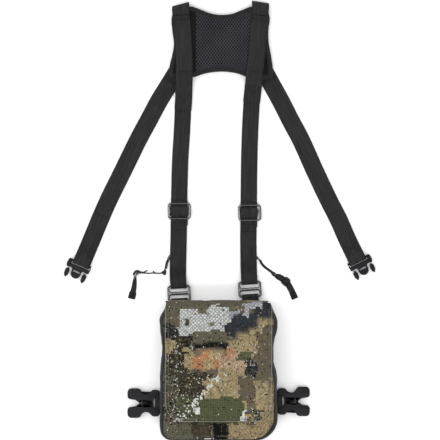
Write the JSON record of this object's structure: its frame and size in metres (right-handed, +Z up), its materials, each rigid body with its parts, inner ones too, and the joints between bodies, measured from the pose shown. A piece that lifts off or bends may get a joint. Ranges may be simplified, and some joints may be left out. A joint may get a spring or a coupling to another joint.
{
  "type": "binocular harness pack",
  "caption": "Padded chest case for a binocular with a fold-over lid, webbing shoulder and side straps, a padded back yoke and side-release buckles.",
  "frame": {"origin": "under the middle of the whole set without its tethers, on the surface it lies on", "axes": "+Y from the case towards the yoke, +Z up, out of the closed lid, +X to the right seen from above the lid"},
  "size_m": [0.4546, 0.6334, 0.0705],
  "materials": {
    "camo_cloth": "matt laminated cloth with a blocky camouflage print",
    "black_cloth": "matt woven cloth",
    "lining_cloth": "matt brushed lining",
    "webbing": "matt woven webbing",
    "air_mesh": "open spacer mesh",
    "foam": "matt closed-cell foam",
    "plastic": "satin moulded plastic",
    "black_nickel": "polished black plating",
    "steel": "plain",
    "cord": "twisted cord"
  },
  "bodies": {
    "case": {"back_panel": "black_cloth", "gusset_left": "black_cloth", "gusset_right": "black_cloth", "gusset_bottom": "black_cloth", "side_pocket_left": "lining_cloth", "side_pocket_right": "lining_cloth", "front_panel": "camo_cloth", "closure_plate_left": "steel", "closure_plate_right": "steel", "front_lining": "lining_cloth", "lid_hinge_tape": "black_cloth", "case_tab_left": "webbing", "case_tab_right": "webbing", "buckle_tab_left": "webbing", "buckle_tab_right": "webbing"},
    "lid_top": {"lid_top_panel": "camo_cloth", "lid_front_fold": "camo_cloth"},
    "lid_flap": {"lid_flap_lining": "lining_cloth", "lid_flap_foam": "foam", "lid_flap_outer": "camo_cloth", "lid_magnet_left": "steel", "lid_magnet_right": "steel", "lid_binding": "webbing"},
    "female_left": {"female_buckle_left": "plastic"},
    "female_right": {"female_buckle_right": "plastic"},
    "connectors": {"connector_frame_left": "black_nickel", "connector_frame_right": "black_nickel"},
    "front_harness": {"front_strap_left": "webbing", "front_strap_right": "webbing", "shoulder_strap_left": "webbing", "shoulder_strap_right": "webbing", "shoulder_fold_left": "webbing", "shoulder_fold_right": "webbing", "tether_anchor_left": "webbing", "tether_anchor_right": "webbing"},
    "slider_left": {"slider_left": "black_nickel", "slider_hump_left": "webbing"},
    "slider_right": {"slider_right": "black_nickel", "slider_hump_right": "webbing"},
    "yoke": {"yoke_outer_panel": "black_cloth", "yoke_foam": "foam", "yoke_mesh": "air_mesh", "yoke_binding": "webbing", "strap_anchor_left": "webbing", "strap_anchor_right": "webbing", "side_tab_left": "webbing", "side_tab_right": "webbing"},
    "side_left": {"side_strap_left": "webbing"},
    "side_right": {"side_strap_right": "webbing"},
    "male_left": {"male_buckle_left": "plastic"},
    "male_right": {"male_buckle_right": "plastic"},
    "prong_left_inner": {"prong_left_inner": "plastic"},
    "prong_left_outer": {"prong_left_outer": "plastic"},
    "prong_right_inner": {"prong_right_inner": "plastic"},
    "prong_right_outer": {"prong_right_outer": "plastic"},
    "tether_left": {"tether_cord_left": "cord", "tether_tab_left": "webbing"},
    "tether_right": {"tether_cord_right": "cord", "tether_strap_right": "webbing"}
  },
  "joints": [
    {"name": "lid_top_fold", "type": "hinge", "parent": "case", "child": "lid_top", "pos_m": [-0.002, -0.1191, 0.0095], "axis": [-1, 0, 0], "range_deg": [0, 80], "deforming": ["lid_hinge_tape"]},
    {"name": "lid_flap_fold", "type": "hinge", "parent": "lid_top", "child": "lid_flap", "pos_m": [-0.002, -0.121, 0.066], "axis": [-1, 0, 0], "range_deg": [0, 100], "deforming": ["lid_front_fold"]},
    {"name": "female_left_flip", "type": "hinge", "parent": "case", "child": "female_left", "pos_m": [-0.091, -0.267, 0.0041], "axis": [0, 1, 0], "range_deg": [0, 80]},
    {"name": "female_right_flip", "type": "hinge", "parent": "case", "child": "female_right", "pos_m": [0.087, -0.2645, 0.0041], "axis": [0, -1, 0], "range_deg": [0, 80]},
    {"name": "connector_tilt", "type": "hinge", "parent": "case", "child": "connectors", "pos_m": [-0.05908, -0.11763, 0.0041], "axis": [-0.9983, -0.058, 0], "range_deg": [-30, 0]},
    {"name": "strap_swing", "type": "hinge", "parent": "connectors", "child": "front_harness", "pos_m": [-0.06032, -0.09637, 0.0041], "axis": [-0.9983, -0.058, 0], "range_deg": [-60, 0]},
    {"name": "slider_left_travel", "type": "slide", "parent": "front_harness", "child": "slider_left", "axis": [0.0148, 0.9999, 0], "range_m": [-0.025, 0.025]},
    {"name": "slider_right_travel", "type": "slide", "parent": "front_harness", "child": "slider_right", "axis": [0.0102, 0.9999, 0], "range_m": [-0.025, 0.025]},
    {"name": "yoke_fold", "type": "hinge", "parent": "front_harness", "child": "yoke", "pos_m": [0, 0.3113, 0.00568], "axis": [1, 0, 0], "range_deg": [0, 180], "deforming": ["shoulder_fold_left", "shoulder_fold_right"]},
    {"name": "side_strap_left_swing", "type": "hinge", "parent": "yoke", "child": "side_left", "pos_m": [-0.0786, 0.1908, 0.00135], "axis": [0.8522, -0.5232, 0], "range_deg": [-80, 0]},
    {"name": "male_left_flip", "type": "hinge", "parent": "side_left", "child": "male_left", "pos_m": [-0.20203, -0.06366, 0.0041], "axis": [0.9215, -0.3884, 0], "range_deg": [-60, 0]},
    {"name": "prong_left_inner_squeeze", "type": "hinge", "parent": "male_left", "child": "prong_left_inner", "pos_m": [-0.19689, -0.07928, 0.0041], "axis": [0, 0, -1], "range_deg": [0, 10], "stiffness_Nm_per_rad": 0.2},
    {"name": "prong_left_outer_squeeze", "type": "hinge", "parent": "male_left", "child": "prong_left_outer", "pos_m": [-0.22085, -0.06918, 0.0041], "axis": [0, 0, 1], "range_deg": [0, 10], "stiffness_Nm_per_rad": 0.2},
    {"name": "side_strap_right_swing", "type": "hinge", "parent": "yoke", "child": "side_right", "pos_m": [0.0783, 0.1926, 0.00135], "axis": [0.8779, 0.4789, 0], "range_deg": [-80, 0]},
    {"name": "male_right_flip", "type": "hinge", "parent": "side_right", "child": "male_right", "pos_m": [0.20035, -0.05879, 0.0041], "axis": [0.903, 0.4296, 0], "range_deg": [-60, 0]},
    {"name": "prong_right_inner_squeeze", "type": "hinge", "parent": "male_right", "child": "prong_right_inner", "pos_m": [0.19592, -0.07463, 0.0041], "axis": [0, 0, 1], "range_deg": [0, 10], "stiffness_Nm_per_rad": 0.2},
    {"name": "prong_right_outer_squeeze", "type": "hinge", "parent": "male_right", "child": "prong_right_outer", "pos_m": [0.2194, -0.06346, 0.0041], "axis": [0, 0, -1], "range_deg": [0, 10], "stiffness_Nm_per_rad": 0.2},
    {"name": "tether_left_swivel", "type": "hinge", "parent": "front_harness", "child": "tether_left", "pos_m": [-0.0764, -0.0576, 0.0013], "axis": [0, 0, 1], "range_deg": [-20, 8]},
    {"name": "tether_right_swivel", "type": "hinge", "parent": "front_harness", "child": "tether_right", "pos_m": [0.0574, -0.0574, 0.0013], "axis": [0, 0, 1], "range_deg": [-5, 20]}
  ]
}
